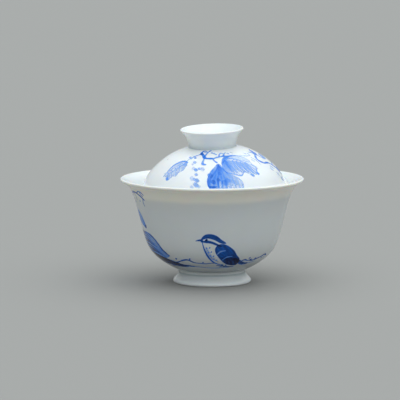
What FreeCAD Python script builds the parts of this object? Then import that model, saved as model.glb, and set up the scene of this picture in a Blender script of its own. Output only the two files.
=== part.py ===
import FreeCAD, Part
import math
import os

# A lidded tea bowl in thin porcelain. Millimetres, +Z up, foot on z = 0, bowl axis on Z.
# Every piece is a turned shape, so each profile is a list of (radius, height) stations.

# ---- driving sizes -------------------------------------------------------------------
MOUTH_DIAMETER = 99.8          # over the outside of the flared rim
BOWL_HEIGHT = 56.9             # table to the top of the rim
FOOT_HEIGHT = 7.6              # table to the seam between foot ring and bowl
FOOT_NECK_DIAMETER = 37.2      # foot ring where it meets the bowl
FOOT_FLANGE_DIAMETER = 42.5    # widest part of the foot ring
FOOT_WALL = 2.3                # foot ring wall at the seam
BOWL_WALL = 1.95               # bowl wall at half height
RIM_THICKNESS = 1.5            # rounded edge of the mouth
FLOOR_THICKNESS = 2.8          # bowl floor on the axis

SEAT_DROP = 7.0                # lid edge sits this far below the top of the rim
LID_DOME_RISE = 24.6           # centre of the rounded lid edge to the seam under the knob
LID_WALL = 1.9                 # dome wall
LID_CLEARANCE = 0.2            # air between the lid edge and the bowl, all round
LID_LEAN = 3.6                 # degrees the lid rests out of level
LID_LOW_SIDE = 236.3           # degrees round from +X to the lowest point of the lid edge
LID_SIDE_SLIP = 0.4            # how far the resting lid has also slid across its lean

KNOB_HEIGHT = 9.8              # seam to the top of the knob ring
KNOB_NECK_DIAMETER = 25.5      # knob ring where it meets the dome
KNOB_TOP_DIAMETER = 34.4       # flared top of the knob ring
KNOB_WALL = 1.9                # knob ring wall at the seam
KNOB_LIP = 1.2                 # rounded top edge of the knob ring


# ---- helpers -------------------------------------------------------------------------
def at(radius, height):
    """A point of a half section: radius along X, height along Z."""
    return FreeCAD.Vector(radius, 0.0, height)


def smooth(stations):
    """One smooth curve through the stations."""
    curve = Part.BSplineCurve()
    curve.interpolate([at(r, z) for r, z in stations])
    return curve


def line(start, end):
    return Part.LineSegment(start, end).toShape()


def ends(curve):
    return curve.value(curve.FirstParameter), curve.value(curve.LastParameter)


def unit_tangent(curve, parameter):
    direction = curve.tangent(parameter)[0]
    return direction.normalize()


def inner_line(curve, thickness_at, first, last, count):
    """Stations one wall thickness inside a curve that runs upwards on the outer face."""
    stations = []
    low, high = curve.FirstParameter, curve.LastParameter
    for step in range(count):
        share = first + (last - first) * step / (count - 1)
        parameter = low + (high - low) * share
        point = curve.value(parameter)
        tangent = unit_tangent(curve, parameter)
        wall = thickness_at(share)
        stations.append((point.x - tangent.z * wall, point.z + tangent.x * wall))
    return stations


def rounded_edge(outer_end, inner_end, tangent):
    """Half-round edge from the outer face to the inner face, bulging along the tangent."""
    middle = (outer_end + inner_end) * 0.5
    reach = (outer_end - inner_end).Length / 2.0
    return Part.Arc(outer_end, middle + tangent * reach, inner_end).toShape()


def turned(edges):
    """Solid of revolution about Z from a closed chain of edges."""
    wire = Part.Wire(Part.__sortEdges__(edges))
    solid = Part.Face(wire).revolve(FreeCAD.Vector(0, 0, 0), FreeCAD.Vector(0, 0, 1), 360)
    if solid.Volume < 0:
        solid.reverse()
    return solid


# ---- tea bowl ------------------------------------------------------------------------
MOUTH_RADIUS = MOUTH_DIAMETER / 2.0
FOOT_NECK_RADIUS = FOOT_NECK_DIAMETER / 2.0
RIM_START_RADIUS = MOUTH_RADIUS - RIM_THICKNESS * 0.35
WALL_HEIGHT = BOWL_HEIGHT - RIM_THICKNESS - FOOT_HEIGHT

# share of the wall height, share of the way from foot neck to rim
BOWL_STATIONS = [
    (0.000, 0.000), (0.022, 0.098), (0.044, 0.164), (0.086, 0.265), (0.148, 0.387),
    (0.232, 0.496), (0.336, 0.570), (0.462, 0.627), (0.608, 0.684), (0.752, 0.742),
    (0.858, 0.798), (0.910, 0.838), (0.956, 0.890), (0.984, 0.942), (1.000, 1.000),
]


def bowl_outer():
    span = RIM_START_RADIUS - FOOT_NECK_RADIUS
    return smooth([(FOOT_NECK_RADIUS + span * out, FOOT_HEIGHT + WALL_HEIGHT * up)
                   for up, out in BOWL_STATIONS])


def bowl_wall_at(share):
    """Thick at the foot, even up the wall, thinned to the rim."""
    thick_base = max(0.0, 1.0 - share / 0.45) ** 1.5
    thin_rim = max(0.0, (share - 0.60) / 0.40)
    return BOWL_WALL + (FLOOR_THICKNESS - BOWL_WALL) * thick_base \
        - (BOWL_WALL - RIM_THICKNESS) * thin_rim


def bowl_inner(outer):
    floor = FOOT_HEIGHT + FLOOR_THICKNESS
    wall = inner_line(outer, bowl_wall_at, 0.13, 1.0, 16)
    first_r, first_z = wall[0]
    floor_curve = [(first_r * s, floor + (first_z - floor) * s ** 3.2)
                   for s in (0.0, 0.35, 0.65)]
    return smooth(floor_curve + wall)


def tea_bowl(outer, inner):
    foot_end, rim_outer = ends(outer)
    floor_centre, rim_inner = ends(inner)
    tangent = unit_tangent(outer, outer.LastParameter)
    base_centre = at(0, FOOT_HEIGHT)
    return turned([
        outer.toShape(),
        rounded_edge(rim_outer, rim_inner, tangent),
        inner.toShape(),
        line(floor_centre, base_centre),
        line(base_centre, foot_end),
    ])


# ---- foot ring -----------------------------------------------------------------------
# share of the foot height, share of the way from neck to flange
FOOT_STATIONS = [
    (1.00, 0.00), (0.93, 0.10), (0.85, 0.06), (0.76, -0.08), (0.64, -0.04),
    (0.50, 0.18), (0.36, 0.54), (0.25, 0.83), (0.15, 0.98), (0.07, 0.99), (0.02, 0.88),
    (0.00, 0.72),
]
FOOT_BARE_WIDTH = 1.2          # flat unglazed band the bowl stands on
FOOT_INNER_TAPER = 1.1         # the recess is this much wider at the table


def foot_ring():
    flange = FOOT_FLANGE_DIAMETER / 2.0 - FOOT_NECK_RADIUS
    outer = smooth([(FOOT_NECK_RADIUS + flange * out, FOOT_HEIGHT * up)
                    for up, out in FOOT_STATIONS])
    top_outer, stand_outer = ends(outer)
    top_inner = at(FOOT_NECK_RADIUS - FOOT_WALL, FOOT_HEIGHT)
    stand_inner = at(stand_outer.x - FOOT_BARE_WIDTH, 0)
    recess_edge = at(top_inner.x + FOOT_INNER_TAPER, FOOT_HEIGHT * 0.1)
    return turned([
        outer.toShape(),
        line(stand_outer, stand_inner),
        line(stand_inner, recess_edge),
        line(recess_edge, top_inner),
        line(top_inner, top_outer),
    ])


# ---- lid, drawn upright with its edge on z = 0 -----------------------------------------
SEAT_HEIGHT = BOWL_HEIGHT - SEAT_DROP
LID_EDGE_ROUND = LID_WALL / 2.0 - 0.1


def bowl_inner_radius(wall, height):
    """Inside radius of the bowl at a height, from points up its wall."""
    for (r0, z0), (r1, z1) in zip(wall, wall[1:]):
        if z0 <= height <= z1:
            return r0 + (r1 - r0) * (height - z0) / (z1 - z0)
    return wall[-1][0]


def air_round_lid(wall, radius, slip):
    """Least gap between the bowl and a leaning ring that carries the lid's rounded edge."""
    lean = math.radians(LID_LEAN)
    gap = 1e9
    for step in range(48):
        turn = math.radians(7.5 * step)
        along = radius * math.cos(turn)
        across = radius * math.sin(turn)
        out = math.hypot(along * math.cos(lean) + slip, across + LID_SIDE_SLIP)
        height = SEAT_HEIGHT + along * math.sin(lean)
        near = min(math.hypot(r - out, z - height) for r, z in wall)
        inside = out < bowl_inner_radius(wall, height)
        gap = min(gap, near if inside else -near)
    return gap - LID_EDGE_ROUND


# share of the dome rise, share of the way from knob neck to lid edge
DOME_STATIONS = [
    (0.020, 1.000), (0.062, 0.984), (0.184, 0.912), (0.307, 0.857), (0.430, 0.789),
    (0.553, 0.691), (0.676, 0.571), (0.779, 0.446), (0.869, 0.303), (0.943, 0.148),
    (1.000, 0.000),
]


def dome_outer(edge):
    neck = KNOB_NECK_DIAMETER / 2.0
    span = edge - neck
    return smooth([(neck + span * out, LID_EDGE_ROUND + LID_DOME_RISE * up)
                   for up, out in DOME_STATIONS])


def edge_round_centre(outer):
    """Radius and height of the centre of the lid's rounded edge."""
    start = outer.value(outer.FirstParameter)
    tangent = unit_tangent(outer, outer.FirstParameter)
    return start.x - tangent.z * LID_EDGE_ROUND, start.z + tangent.x * LID_EDGE_ROUND


def lid_fit(inner):
    """Widest dome that keeps its clearance while leaning, and its sideways slip."""
    low, high = inner.FirstParameter, inner.LastParameter
    wall = [(p.x, p.z) for p in (inner.value(low + (high - low) * i / 900.0) for i in range(901))]
    level = bowl_inner_radius(wall, SEAT_HEIGHT)
    reach = level * math.sin(math.radians(LID_LEAN))
    slip = (bowl_inner_radius(wall, SEAT_HEIGHT + reach)
            - bowl_inner_radius(wall, SEAT_HEIGHT - reach)) / 2.0
    small, large = level * 0.9, level
    for _ in range(20):
        edge = (small + large) / 2.0
        if air_round_lid(wall, edge_round_centre(dome_outer(edge))[0], slip) > LID_CLEARANCE:
            small = edge
        else:
            large = edge
    return small, slip


def dome_wall_at(share):
    return 2.0 * LID_EDGE_ROUND + 0.2 * min(1.0, share / 0.3)


def lid_dome(edge):
    outer = dome_outer(edge)
    edge_outer, neck_point = ends(outer)
    wall = inner_line(outer, dome_wall_at, 0.0, 0.92, 14)
    crown = neck_point.z - LID_WALL - 0.15
    last_r, last_z = wall[-1]
    crown_curve = [(last_r * s, crown - (crown - last_z) * s ** 2.2) for s in (0.60, 0.30, 0.0)]
    under = smooth(wall + crown_curve)
    edge_inner, crown_point = ends(under)
    tangent = unit_tangent(outer, outer.FirstParameter) * -1.0
    top_centre = at(0, neck_point.z)
    return turned([
        outer.toShape(),
        rounded_edge(edge_outer, edge_inner, tangent),
        under.toShape(),
        line(crown_point, top_centre),
        line(top_centre, neck_point),
    ]), neck_point.z


# share of the knob height, share of the way from neck to top
KNOB_STATIONS = [
    (0.00, 0.00), (0.16, 0.07), (0.36, 0.21), (0.56, 0.41), (0.74, 0.71), (0.89, 0.985),
]


def lid_knob(base):
    neck = KNOB_NECK_DIAMETER / 2.0
    span = KNOB_TOP_DIAMETER / 2.0 - 0.1 - neck
    outer = smooth([(neck + span * out, base + KNOB_HEIGHT * up) for up, out in KNOB_STATIONS])
    foot_outer, lip_outer = ends(outer)
    wall = inner_line(outer, lambda s: KNOB_WALL - (KNOB_WALL - KNOB_LIP) * s, 0.0, 1.0, 8)
    wall[0] = (neck - KNOB_WALL, base)
    inner = smooth(wall)
    foot_inner, lip_inner = ends(inner)
    tangent = unit_tangent(outer, outer.LastParameter)
    return turned([
        outer.toShape(),
        rounded_edge(lip_outer, lip_inner, tangent),
        inner.toShape(),
        line(foot_inner, foot_outer),
    ])


def rest_in_bowl(shape, edge, slip):
    """Lean the upright lid piece and set it down in the mouth, slid towards its high side."""
    round_height = edge_round_centre(dome_outer(edge))[1]
    low = math.radians(LID_LOW_SIDE)
    low_x, low_y = math.cos(low), math.sin(low)
    pivot = at(0, round_height)
    placed = shape.copy()
    placed.rotate(pivot, FreeCAD.Vector(-low_y, low_x, 0), LID_LEAN)
    placed.translate(FreeCAD.Vector(-low_x * slip - low_y * LID_SIDE_SLIP,
                                    -low_y * slip + low_x * LID_SIDE_SLIP,
                                    SEAT_HEIGHT - round_height))
    return placed


# ---- build and write -----------------------------------------------------------------
def main():
    outer = bowl_outer()
    inner = bowl_inner(outer)
    edge, slip = lid_fit(inner)
    dome, seam = lid_dome(edge)
    pieces = {
        "tea_bowl": tea_bowl(outer, inner),
        "foot_ring": foot_ring(),
        "lid_dome": rest_in_bowl(dome, edge, slip),
        "lid_knob": rest_in_bowl(lid_knob(seam), edge, slip),
    }
    os.makedirs("parts", exist_ok=True)
    for name, shape in pieces.items():
        shape.exportStep(os.path.join("parts", name + ".step"))
        box = shape.BoundBox
        print("%-10s valid %s solids %d volume %.0f box %.2f %.2f %.2f to %.2f %.2f %.2f" % (
            name, shape.isValid(), len(shape.Solids), shape.Volume,
            box.XMin, box.YMin, box.ZMin, box.XMax, box.YMax, box.ZMax))
    print("lid edge radius %.2f slip %.2f air to bowl %.3f" % (
        edge, slip, pieces["lid_dome"].distToShape(pieces["tea_bowl"])[0]))


main()
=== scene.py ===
import bpy
import math
import numpy as np
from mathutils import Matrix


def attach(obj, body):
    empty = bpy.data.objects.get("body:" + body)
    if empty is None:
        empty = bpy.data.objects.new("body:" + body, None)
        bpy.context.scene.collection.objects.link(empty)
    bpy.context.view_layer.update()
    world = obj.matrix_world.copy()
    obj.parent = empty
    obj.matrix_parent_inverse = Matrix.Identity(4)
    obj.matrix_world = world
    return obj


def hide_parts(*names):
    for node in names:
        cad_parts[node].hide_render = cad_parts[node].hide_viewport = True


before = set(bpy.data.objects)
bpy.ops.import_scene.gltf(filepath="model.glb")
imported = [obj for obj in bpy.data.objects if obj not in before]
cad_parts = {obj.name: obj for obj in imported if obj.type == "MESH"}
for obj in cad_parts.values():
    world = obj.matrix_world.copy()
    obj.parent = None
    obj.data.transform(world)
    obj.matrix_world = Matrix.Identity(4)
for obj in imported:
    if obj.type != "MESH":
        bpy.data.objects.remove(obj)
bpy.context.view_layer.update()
MM = 0.001


# ---- foot ring --------------------------------
# The turned ring the bowl stands on: a small bead at the top, a waist and a rolled flange.
# White porcelain under clear glaze, wiped bare on the narrow band that touches the table.
# It is luted to the bowl with slip before glazing, so one coat of glaze covers the seam.

def fair_curve(points, spacing):
    """Natural cubic spline through the points against chord length, sampled at an even spacing."""
    p = np.array(points, float)
    t = np.concatenate([[0.0], np.cumsum(np.hypot(*np.diff(p, axis=0).T))])
    h = np.diff(t)
    n = len(t)
    a = np.eye(n)
    rows = np.arange(1, n - 1)
    a[rows, rows - 1], a[rows, rows], a[rows, rows + 1] = h[:-1], 2 * (h[:-1] + h[1:]), h[1:]
    slope = np.diff(p, axis=0) / h[:, None]
    b = np.zeros_like(p)
    b[1:-1] = 6 * np.diff(slope, axis=0)
    bend = np.linalg.solve(a, b)
    x = np.linspace(0, t[-1], max(3, int(round(t[-1] / spacing)) + 1))
    k = np.clip(np.searchsorted(t, x) - 1, 0, n - 2)
    u, w, step = ((t[k + 1] - x) / h[k])[:, None], ((x - t[k]) / h[k])[:, None], h[k][:, None]
    return u * p[k] + w * p[k + 1] + ((u**3 - u) * bend[k] + (w**3 - w) * bend[k + 1]) * step**2 / 6


def straight(start, end, spacing):
    """Evenly spaced points on the line from start to end."""
    start, end = np.array(start, float), np.array(end, float)
    count = max(2, int(round(np.linalg.norm(end - start) / spacing)) + 1)
    return start + (end - start) * np.linspace(0, 1, count)[:, None]


def joined(*runs):
    """Runs of profile points end to end, each shared point kept once."""
    return np.concatenate([runs[0]] + [r[1:] for r in runs[1:]])


def inward(points, wall):
    """Points one wall to the left of the direction of travel: P + wall x (-dz, dr)."""
    d = np.gradient(points, axis=0)
    d /= np.linalg.norm(d, axis=1)[:, None]
    return points + np.stack([-d[:, 1], d[:, 0]], 1) * np.reshape(wall, (-1, 1))


def half_round(outer, inner, count=14):
    """Half circle from the outer end to the inner end, bulging the way the outer curve travels."""
    start, end = outer[-1], inner[-1]
    centre, reach = (start + end) / 2, (start - end) / 2
    ahead = outer[-1] - outer[-2]
    ahead *= np.linalg.norm(reach) / np.linalg.norm(ahead)
    turn = np.linspace(0, math.pi, count)[:, None]
    return centre + reach * np.cos(turn) + ahead * np.sin(turn)


def glaze_depth(profile, seams=(), reach=1.2):
    """Where the glaze runs thick or thin: the profile's bend (a hollow is plus, a sharp edge
    minus, levelled off by tanh), and plus exp(-distance / reach) beside each seam."""
    d = np.gradient(profile, axis=0)
    s = np.maximum(np.linalg.norm(d, axis=1), 1e-6)
    turn = np.gradient(np.unwrap(np.arctan2(d[:, 1], d[:, 0]))) / s
    kernel = np.hanning(9)
    turn = np.convolve(np.pad(turn, 4, mode="edge"), kernel / kernel.sum(), "valid")
    depth = -np.tanh(turn * 1.1)
    for r, z in seams:
        depth = depth + 1.1 * np.exp(-np.hypot(profile[:, 0] - r, profile[:, 1] - z) / reach)
    return np.clip(depth, -1, 1.2)


def warp(r, z, t):
    """How far fired clay stands off a true circle: two lobes of 0.04 mm at the rim, and three
    small ones that wind slowly with height, both fading out on the axis."""
    lobes = 0.04 * np.sin(2 * t + 0.7) * np.clip(r / 40, 0, 1) + 0.012 * np.sin(3 * t + z * 0.21)
    return lobes * np.clip(r / 6, 0, 1)


def turned_piece(name, profile, columns, depth, closed=False, place=None):
    """Surface of revolution: (r cos t, r sin t, z) for every profile point and every turn t, with
    r warped a little. A closed profile is joined end to end, and an open one starts and ends on
    the axis, where its first and last rings are single points."""
    t = np.arange(columns) / columns * 2 * math.pi
    r, z = profile[:, :1], profile[:, 1:]
    if not closed:
        r, z, depth = r[1:-1], z[1:-1], depth[1:-1]
    r = r + warp(r, z, t)
    grid = np.stack([r * np.cos(t), r * np.sin(t), z + 0 * t], -1)
    rings = len(grid)
    verts = grid.reshape(-1, 3)
    ids = np.arange(rings * columns).reshape(rings, columns)
    low = ids if closed else ids[:-1]
    high = np.roll(ids, -1, 0) if closed else ids[1:]
    quads = np.stack([low, np.roll(low, -1, 1), np.roll(high, -1, 1), high], -1).reshape(-1, 4)
    faces, shade = quads.tolist(), np.repeat(depth, columns)
    if not closed:
        verts = np.concatenate([verts, [[0, 0, profile[0, 1]], [0, 0, profile[-1, 1]]]])
        start, end = len(verts) - 2, len(verts) - 1
        around = np.roll(ids, -1, 1)
        fan = np.stack([np.full(columns, start), around[0], ids[0]], -1)
        cap = np.stack([np.full(columns, end), ids[-1], around[-1]], -1)
        faces += fan.tolist() + cap.tolist()
        shade = np.concatenate([shade, [depth[0], depth[-1]]])
    if place is not None:
        verts = place(verts)
    mesh = bpy.data.meshes.new(name)
    mesh.from_pydata((verts * MM).tolist(), [], faces)
    mesh.polygons.foreach_set("use_smooth", np.ones(len(faces), bool))
    layer = mesh.attributes.new("glaze_depth", "FLOAT", "POINT")
    layer.data.foreach_set("value", shade.astype(np.float32))
    lay_out(mesh, verts, columns, rings, closed)
    mesh.update()
    piece = bpy.data.objects.new(name, mesh)
    bpy.context.collection.objects.link(piece)
    return piece


def lay_out(mesh, verts, columns, rings, closed):
    """Flat map of a turned piece for its baked colours: across is the turn, up is the ring."""
    corner = np.empty(len(mesh.loops), np.int32)
    mesh.loops.foreach_get("vertex_index", corner)
    column, ring = corner % columns, corner // columns
    quad_loops = len(corner) - (0 if closed else 6 * columns)
    across = column.astype(float)
    face = np.arange(quad_loops) // 4
    wraps = (face % columns == columns - 1) & (column[:quad_loops] == 0)
    across[:quad_loops] += np.where(wraps, columns, 0)
    up = ring.astype(float) + 1
    if closed:
        last = face // columns == rings - 1
        up[:quad_loops] += np.where(last & (ring[:quad_loops] == 0), rings, 0)
        up -= 1
    else:
        for k, height in ((0, 0.0), (1, rings + 1.0)):
            tri = slice(quad_loops + 3 * columns * k, quad_loops + 3 * columns * (k + 1))
            which = np.arange(3 * columns) // 3
            pole = corner[tri] >= columns * rings
            wrap = (which == columns - 1) & (column[tri] == 0) & ~pole
            across[tri] = np.where(pole, which + 0.5, column[tri] + np.where(wrap, columns, 0))
            up[tri] = np.where(pole, height, ring[tri] + 1)
    flat = mesh.uv_layers.new(name="OFBake")
    uv = np.stack([0.004 + 0.992 * across / columns, 0.004 + 0.992 * up / (rings + 1)], 1)
    flat.data.foreach_set("uv", uv.astype(np.float32).ravel())


FOOT_HEIGHT = 7.6
FOOT_NECK = 18.6
FOOT_FLANGE = 21.25
RECESS_TOP = 16.3
RECESS_LIP = (17.4, 0.76)
STANDING_BAND = 1.2
foot_outside = [(1.00, 0.00), (0.93, 0.10), (0.85, 0.06), (0.76, -0.08), (0.64, -0.04),
                (0.50, 0.18), (0.36, 0.54), (0.25, 0.83), (0.15, 0.98), (0.07, 0.99),
                (0.02, 0.88), (0.00, 0.72)]
foot_outer = fair_curve([(FOOT_NECK + (FOOT_FLANGE - FOOT_NECK) * out, FOOT_HEIGHT * up)
                         for up, out in foot_outside[::-1]], 0.12)
stand_out = foot_outer[0, 0]
foot_profile = joined(
    foot_outer,
    straight((FOOT_NECK, FOOT_HEIGHT), (RECESS_TOP, FOOT_HEIGHT), 0.6),
    straight((RECESS_TOP, FOOT_HEIGHT), RECESS_LIP, 0.3),
    fair_curve([RECESS_LIP, (17.9, 0.36), (18.6, 0.10), (stand_out - STANDING_BAND, 0.0)], 0.12),
    straight((stand_out - STANDING_BAND, 0.0), (stand_out, 0.0), 0.2))[:-1]
foot_depth = glaze_depth(foot_profile, seams=[(FOOT_NECK, FOOT_HEIGHT)])
WIPED_BARE = -3.0
foot_depth[foot_profile[:, 1] < 0.005] = WIPED_BARE
foot = turned_piece("foot_ring_glazed", foot_profile, columns=300, depth=foot_depth, closed=True)


def feed(made, **values):
    """Sets a shader node's properties, and feeds its inputs, given as in_NAME or in_NUMBER, with
    a value, with another node's output, or with another node's first output."""
    for key, value in values.items():
        if not key.startswith("in_"):
            setattr(made, key, value)
            continue
        socket = key[3:].replace("_", " ")
        into = made.inputs[int(socket) if socket.isdigit() else socket]
        value = value.outputs[0] if isinstance(value, bpy.types.Node) else value
        if isinstance(value, bpy.types.NodeSocket):
            made.id_data.links.new(value, into)
        else:
            into.default_value = value
    return made


def node(tree, kind, at, **values):
    """Adds a shader node at a place in its tree, set and fed as feed says."""
    made = tree.nodes.new("ShaderNode" + kind)
    made.location = at
    return feed(made, **values)


def glaze_colour_group():
    """Colour of clear glaze over porcelain: the depth attribute (-1 thin edge, 0 even, 1 pooled,
    far below -1 bare clay) slides between a creamy thin colour, an even colour and a pooled
    blue-green, then a slow mottle and sparse iron specks are laid over it."""
    group = bpy.data.node_groups.new("glaze_over_porcelain", "ShaderNodeTree")
    face = group.interface
    for name in ("Even colour", "Pooled colour", "Thin colour"):
        face.new_socket(name, in_out="INPUT", socket_type="NodeSocketColor")
    for name, kind in (("Colour", "NodeSocketColor"), ("Roughness", "NodeSocketFloat"),
                       ("Height", "NodeSocketFloat")):
        face.new_socket(name, in_out="OUTPUT", socket_type=kind)
    ins = group.nodes.new("NodeGroupInput")
    outs = group.nodes.new("NodeGroupOutput")
    ins.location, outs.location = (-1000, 0), (900, 0)
    given = ins.outputs
    where = node(group, "TexCoord", (-1000, -400)).outputs["Object"]
    depth = node(group, "Attribute", (-1000, 300), attribute_name="glaze_depth").outputs["Fac"]
    cloud = node(group, "TexNoise", (-760, -260), in_Vector=where, in_Scale=85.0, in_Detail=3.0)
    # pooled and thin shares, each nudged by the cloud so their edges wander
    nudge = node(group, "Math", (-560, -60), operation="MULTIPLY_ADD",
                 in_0=cloud, in_1=0.35, in_2=-0.175)
    shifted = node(group, "Math", (-400, 160), operation="ADD", in_0=depth, in_1=nudge)
    pooled = node(group, "MapRange", (-220, 260), interpolation_type="SMOOTHSTEP",
                  in_0=shifted, in_1=0.05, in_2=1.0)
    thin = node(group, "MapRange", (-220, 0), interpolation_type="SMOOTHSTEP",
                in_0=shifted, in_1=-0.25, in_2=-0.95)
    wet = node(group, "Mix", (0, 220), data_type="RGBA",
               in_0=pooled, in_6=given["Even colour"], in_7=given["Pooled colour"])
    dry = node(group, "Mix", (170, 160), data_type="RGBA",
               in_0=thin, in_6=wet.outputs[2], in_7=given["Thin colour"])
    # mottle: brightness swings by up to 2.5 % to either side
    swing = node(group, "Math", (-220, -240), operation="SUBTRACT", in_0=cloud, in_1=0.5)
    sized = node(group, "Math", (-60, -240), operation="MULTIPLY", in_0=swing, in_1=0.05)
    bright = node(group, "Math", (100, -240), operation="ADD", in_0=sized, in_1=1.0)
    mottled = node(group, "VectorMath", (340, 120), operation="SCALE",
                   in_0=dry.outputs[2], in_Scale=bright)
    # iron specks: the few cells whose own random value is high carry a dot
    cells = node(group, "TexVoronoi", (-760, -560), in_Vector=where, in_Scale=210.0)
    pick = node(group, "SeparateColor", (-560, -620), in_0=cells.outputs["Color"])
    rare = node(group, "Math", (-400, -620), operation="GREATER_THAN", in_0=pick, in_1=0.985)
    dot = node(group, "MapRange", (-400, -460),
               in_0=cells.outputs["Distance"], in_1=0.16, in_2=0.05)
    speck = node(group, "Math", (-220, -520), operation="MULTIPLY", in_0=dot, in_1=rare)
    amount = node(group, "Math", (-60, -460), operation="MULTIPLY", in_0=speck, in_1=0.5)
    specked = node(group, "Mix", (560, 60), data_type="RGBA",
                   in_0=amount, in_6=mottled, in_7=(0.30, 0.24, 0.18, 1))
    # far below the thinnest glaze the clay is bare: warm white and matt
    bare = node(group, "MapRange", (340, 420), in_0=depth, in_1=-1.3, in_2=-2.6)
    wiped = node(group, "Mix", (720, 160), data_type="RGBA",
                 in_0=bare, in_6=specked.outputs[2], in_7=(0.72, 0.69, 0.64, 1))
    # gloss and surface: a slow orange-peel swell, pricked at the specks
    swell = node(group, "TexNoise", (-760, -860), in_Vector=where, in_Scale=230.0, in_Detail=2.0)
    gloss = node(group, "MapRange", (340, -300), in_0=cloud, in_3=0.05, in_4=0.12)
    matt = node(group, "Mix", (560, -260), in_0=bare, in_2=gloss, in_3=0.75)
    pinhole = node(group, "Math", (340, -560), operation="MULTIPLY_ADD",
                   in_0=speck, in_1=-0.6, in_2=swell)
    feed(outs, in_Colour=wiped.outputs[2], in_Roughness=matt, in_Height=pinhole)
    return group


GLAZE = glaze_colour_group()
GLAZE_IOR = 1.52


def glazed_porcelain(name, even, pooled, thin, glow):
    """Glossy glaze over white porcelain that lets a little warm light through its thin parts."""
    material = bpy.data.materials.new(name)
    material.use_nodes = True
    tree = material.node_tree
    glaze = node(tree, "Group", (-520, 100), node_tree=GLAZE, in_Even_colour=(*even, 1),
                 in_Pooled_colour=(*pooled, 1), in_Thin_colour=(*thin, 1)).outputs
    bump = node(tree, "Bump", (-240, -240), in_Strength=0.06, in_Distance=0.0003,
                in_Height=glaze["Height"])
    feed(tree.nodes["Principled BSDF"], in_Base_Color=glaze["Colour"],
         in_Roughness=glaze["Roughness"], in_Normal=bump, in_IOR=GLAZE_IOR,
         in_Subsurface_Weight=glow, in_Subsurface_Radius=(1.0, 0.72, 0.45),
         in_Subsurface_Scale=0.0035)
    return material


# The foot's even colour is set lighter than the lid's and the bowl's, though it is the same
# porcelain: painted light, for the light from the front that falls on its flange.
foot.data.materials.append(glazed_porcelain(
    "glazed_porcelain_foot", even=(0.92, 0.96, 0.97), pooled=(0.62, 0.70, 0.72),
    thin=(0.88, 0.90, 0.90), glow=0.15))
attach(foot, "bowl")
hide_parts("foot_ring")


# ---- tea bowl ---------------------------------
# Thrown thin and turned: a round belly, a wall that tapers out gently, and a rim that flares
# nearly flat and ends in a fine round edge. White porcelain, glazed inside and out.

BOWL_HEIGHT = 56.9
RIM_RADIUS = 49.9
RIM_THICKNESS = 1.5
BOWL_WALL = 1.95
FLOOR_THICKNESS = 2.8
bowl_outside = [(0.000, 0.000), (0.022, 0.098), (0.044, 0.164), (0.086, 0.265), (0.148, 0.387),
                (0.232, 0.496), (0.336, 0.570), (0.462, 0.627), (0.608, 0.684), (0.752, 0.742),
                (0.858, 0.798), (0.910, 0.838), (0.956, 0.890), (0.984, 0.942), (1.000, 1.000)]
wall_height = BOWL_HEIGHT - RIM_THICKNESS - FOOT_HEIGHT
rim_start = RIM_RADIUS - RIM_THICKNESS * 0.35
floor_height = FOOT_HEIGHT + FLOOR_THICKNESS
bowl_outer = fair_curve([(FOOT_NECK + (rim_start - FOOT_NECK) * out, FOOT_HEIGHT + wall_height * up)
                         for up, out in bowl_outside], 0.45)
share = np.linspace(0, 1, len(bowl_outer))
bowl_wall = (BOWL_WALL + (FLOOR_THICKNESS - BOWL_WALL) * np.clip(1 - share / 0.45, 0, 1) ** 1.5
             - (BOWL_WALL - RIM_THICKNESS) * np.clip((share - 0.6) / 0.4, 0, 1))
wall_points = inward(bowl_outer, bowl_wall)[np.searchsorted(share, np.linspace(0.13, 1, 16))]
floor_points = [(wall_points[0, 0] * s, floor_height + (wall_points[0, 1] - floor_height) * s**3.2)
                for s in (0.0, 0.35, 0.65)]
bowl_inner = fair_curve(np.concatenate([floor_points, wall_points]), 0.6)
bowl_profile = joined(
    straight((0, FOOT_HEIGHT), (FOOT_NECK, FOOT_HEIGHT), 1.2),
    bowl_outer,
    half_round(bowl_outer, bowl_inner),
    bowl_inner[::-1])
bowl_glaze_and_light = glaze_depth(bowl_profile, seams=[(FOOT_NECK, FOOT_HEIGHT)], reach=0.9)
# outside, a lighter, warmer band under the flare is painted light, for light that shines through
# the thin rim;
# round the foot of the belly the colour turns darker, partly glaze gathered there and partly
# painted shade
FLARE_START, BELLY_FOOT = 45.4, 20.0
height = bowl_profile[:, 1]
outside = np.arange(len(height)) < np.argmax(height)
rim_glow_painted = np.clip((height - FLARE_START) / 4.0, 0, 1) * outside
gathered_glaze_and_shade = np.clip((BELLY_FOOT - height) / 11.0, 0, 1) ** 1.3 * outside
bowl_glaze_and_light = np.clip(bowl_glaze_and_light - 0.85 * rim_glow_painted + 0.9 * gathered_glaze_and_shade, -1, 1.1)
bowl = turned_piece("tea_bowl_glazed", bowl_profile, columns=330, depth=bowl_glaze_and_light)
# The bowl's even colour is set darker than the lid's, though it is the same porcelain: painted
# shade on its walls. Its darker pooled colour carries the painted shade low on the belly, and its
# lighter, warmer thin colour carries the painted light under the flare.
bowl.data.materials.append(glazed_porcelain(
    "glazed_porcelain_bowl", even=(0.75, 0.78, 0.79), pooled=(0.42, 0.455, 0.47),
    thin=(0.90, 0.90, 0.855), glow=0.35))
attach(bowl, "bowl")
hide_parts("tea_bowl")


# ---- bowl painting: bird ----------------------
# A songbird in cobalt blue, painted by brush low on the front before glazing, so that pigment
# and glaze are fired into one coat. Here it is a film of pigment just outside the porcelain.

FILM_LIFT = 0.03
MM_PER_DEGREE = 0.55


def surface_at(profile, key, wanted):
    """Radius, height and the normal's two parts, where a profile's rising key has the wanted
    values. The normal points to the right of the direction of travel."""
    slope = np.gradient(profile, axis=0)
    slope /= np.linalg.norm(slope, axis=1)[:, None]
    return [np.interp(wanted, key, v) for v in (*profile.T, slope[:, 1], -slope[:, 0])]


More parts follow.
